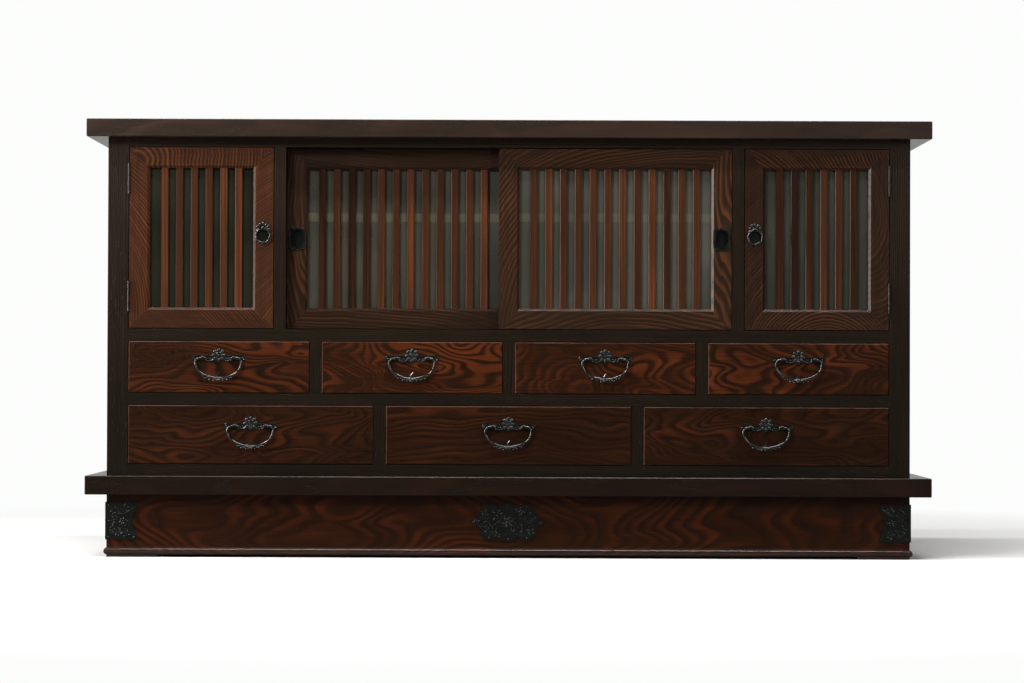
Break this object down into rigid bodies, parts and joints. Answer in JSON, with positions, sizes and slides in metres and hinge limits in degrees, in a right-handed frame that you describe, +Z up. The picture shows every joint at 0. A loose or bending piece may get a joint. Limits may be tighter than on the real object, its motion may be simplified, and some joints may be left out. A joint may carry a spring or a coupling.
{
  "type": "mizuya kitchen cabinet",
  "caption": "Low East Asian kitchen sideboard with latticed glass doors, hinged and sliding, over rows of drawers with drop pulls, on a plinth.",
  "frame": {"origin": "on the floor, under the middle of the top board", "axes": "+X to the right as seen from the front, -Y towards the user, +Z up"},
  "size_m": [1.8, 0.45, 0.934],
  "materials": {
    "top_wood": "satin wiped lacquer, dark red-brown",
    "frame_wood": "satin wiped lacquer, brown-black",
    "figured_wood": "satin lacquer over bold zelkova figure",
    "lattice_wood": "satin lacquer",
    "inner_wood": "plain planed softwood",
    "iron": "blackened forged iron",
    "hinge_iron": "blackened iron",
    "glass": "plain clear glass"
  },
  "bodies": {
    "case": {"top_board": "top_wood", "waist_board": "top_wood", "plinth": "figured_wood", "plinth_irons": "iron", "case_side_left": "frame_wood", "case_side_right": "frame_wood", "front_frame": "frame_wood", "back_panel": "inner_wood", "cupboard_partitions": "inner_wood", "cupboard_boards": "inner_wood", "drawer_runners": "inner_wood", "case_hinge_leaves": "hinge_iron"},
    "left_door": {"left_door_frame": "figured_wood", "left_door_lattice": "lattice_wood", "left_door_glass": "glass", "left_door_hinge_leaves": "hinge_iron", "left_door_rosette": "iron"},
    "left_door_ring": {"left_door_ring": "iron"},
    "right_door": {"right_door_frame": "figured_wood", "right_door_lattice": "lattice_wood", "right_door_glass": "glass", "right_door_hinge_leaves": "hinge_iron", "right_door_rosette": "iron"},
    "right_door_ring": {"right_door_ring": "iron"},
    "left_sliding_door": {"left_sliding_door_frame": "figured_wood", "left_sliding_door_lattice": "lattice_wood", "left_sliding_door_glass": "glass", "left_sliding_door_pull": "iron"},
    "right_sliding_door": {"right_sliding_door_frame": "figured_wood", "right_sliding_door_lattice": "lattice_wood", "right_sliding_door_glass": "glass", "right_sliding_door_pull": "iron"},
    "upper_drawer_1": {"upper_drawer_1_front": "figured_wood", "upper_drawer_1_box": "inner_wood", "upper_drawer_1_pull_plate": "iron"},
    "upper_drawer_1_bail": {"upper_drawer_1_bail": "iron"},
    "upper_drawer_2": {"upper_drawer_2_front": "figured_wood", "upper_drawer_2_box": "inner_wood", "upper_drawer_2_pull_plate": "iron"},
    "upper_drawer_2_bail": {"upper_drawer_2_bail": "iron"},
    "upper_drawer_3": {"upper_drawer_3_front": "figured_wood", "upper_drawer_3_box": "inner_wood", "upper_drawer_3_pull_plate": "iron"},
    "upper_drawer_3_bail": {"upper_drawer_3_bail": "iron"},
    "upper_drawer_4": {"upper_drawer_4_front": "figured_wood", "upper_drawer_4_box": "inner_wood", "upper_drawer_4_pull_plate": "iron"},
    "upper_drawer_4_bail": {"upper_drawer_4_bail": "iron"},
    "lower_drawer_1": {"lower_drawer_1_front": "figured_wood", "lower_drawer_1_box": "inner_wood", "lower_drawer_1_pull_plate": "iron"},
    "lower_drawer_1_bail": {"lower_drawer_1_bail": "iron"},
    "lower_drawer_2": {"lower_drawer_2_front": "figured_wood", "lower_drawer_2_box": "inner_wood", "lower_drawer_2_pull_plate": "iron"},
    "lower_drawer_2_bail": {"lower_drawer_2_bail": "iron"},
    "lower_drawer_3": {"lower_drawer_3_front": "figured_wood", "lower_drawer_3_box": "inner_wood", "lower_drawer_3_pull_plate": "iron"},
    "lower_drawer_3_bail": {"lower_drawer_3_bail": "iron"}
  },
  "joints": [
    {"name": "left_door_hinge", "type": "hinge", "parent": "case", "child": "left_door", "pos_m": [-0.81275, -0.1976, 0.6825], "axis": [0, 0, -1], "range_deg": [0, 165]},
    {"name": "left_door_ring_swing", "type": "hinge", "parent": "left_door", "child": "left_door_ring", "pos_m": [-0.52575, -0.20205, 0.702], "axis": [-1, 0, 0], "range_deg": [0, 85]},
    {"name": "right_door_hinge", "type": "hinge", "parent": "case", "child": "right_door", "pos_m": [0.81275, -0.1976, 0.6825], "axis": [0, 0, 1], "range_deg": [0, 165]},
    {"name": "right_door_ring_swing", "type": "hinge", "parent": "right_door", "child": "right_door_ring", "pos_m": [0.52575, -0.20205, 0.702], "axis": [-1, 0, 0], "range_deg": [0, 85]},
    {"name": "left_sliding_door_slide", "type": "slide", "parent": "case", "child": "left_sliding_door", "axis": [1, 0, 0], "range_m": [0, 0.454]},
    {"name": "right_sliding_door_slide", "type": "slide", "parent": "case", "child": "right_sliding_door", "axis": [-1, 0, 0], "range_m": [0, 0.454]},
    {"name": "upper_drawer_1_slide", "type": "slide", "parent": "case", "child": "upper_drawer_1", "axis": [0, -1, 0], "range_m": [0, 0.3]},
    {"name": "upper_drawer_1_bail_swing", "type": "hinge", "parent": "upper_drawer_1", "child": "upper_drawer_1_bail", "pos_m": [-0.6195, -0.2025, 0.425], "axis": [-1, 0, 0], "range_deg": [0, 90]},
    {"name": "upper_drawer_2_slide", "type": "slide", "parent": "case", "child": "upper_drawer_2", "axis": [0, -1, 0], "range_m": [0, 0.3]},
    {"name": "upper_drawer_2_bail_swing", "type": "hinge", "parent": "upper_drawer_2", "child": "upper_drawer_2_bail", "pos_m": [-0.2065, -0.2025, 0.425], "axis": [-1, 0, 0], "range_deg": [0, 90]},
    {"name": "upper_drawer_3_slide", "type": "slide", "parent": "case", "child": "upper_drawer_3", "axis": [0, -1, 0], "range_m": [0, 0.3]},
    {"name": "upper_drawer_3_bail_swing", "type": "hinge", "parent": "upper_drawer_3", "child": "upper_drawer_3_bail", "pos_m": [0.2065, -0.2025, 0.425], "axis": [-1, 0, 0], "range_deg": [0, 90]},
    {"name": "upper_drawer_4_slide", "type": "slide", "parent": "case", "child": "upper_drawer_4", "axis": [0, -1, 0], "range_m": [0, 0.3]},
    {"name": "upper_drawer_4_bail_swing", "type": "hinge", "parent": "upper_drawer_4", "child": "upper_drawer_4_bail", "pos_m": [0.6195, -0.2025, 0.425], "axis": [-1, 0, 0], "range_deg": [0, 90]},
    {"name": "lower_drawer_1_slide", "type": "slide", "parent": "case", "child": "lower_drawer_1", "axis": [0, -1, 0], "range_m": [0, 0.3]},
    {"name": "lower_drawer_1_bail_swing", "type": "hinge", "parent": "lower_drawer_1", "child": "lower_drawer_1_bail", "pos_m": [-0.55067, -0.2025, 0.28], "axis": [-1, 0, 0], "range_deg": [0, 90]},
    {"name": "lower_drawer_2_slide", "type": "slide", "parent": "case", "child": "lower_drawer_2", "axis": [0, -1, 0], "range_m": [0, 0.3]},
    {"name": "lower_drawer_2_bail_swing", "type": "hinge", "parent": "lower_drawer_2", "child": "lower_drawer_2_bail", "pos_m": [0, -0.2025, 0.28], "axis": [-1, 0, 0], "range_deg": [0, 90]},
    {"name": "lower_drawer_3_slide", "type": "slide", "parent": "case", "child": "lower_drawer_3", "axis": [0, -1, 0], "range_m": [0, 0.3]},
    {"name": "lower_drawer_3_bail_swing", "type": "hinge", "parent": "lower_drawer_3", "child": "lower_drawer_3_bail", "pos_m": [0.55067, -0.2025, 0.28], "axis": [-1, 0, 0], "range_deg": [0, 90]}
  ]
}
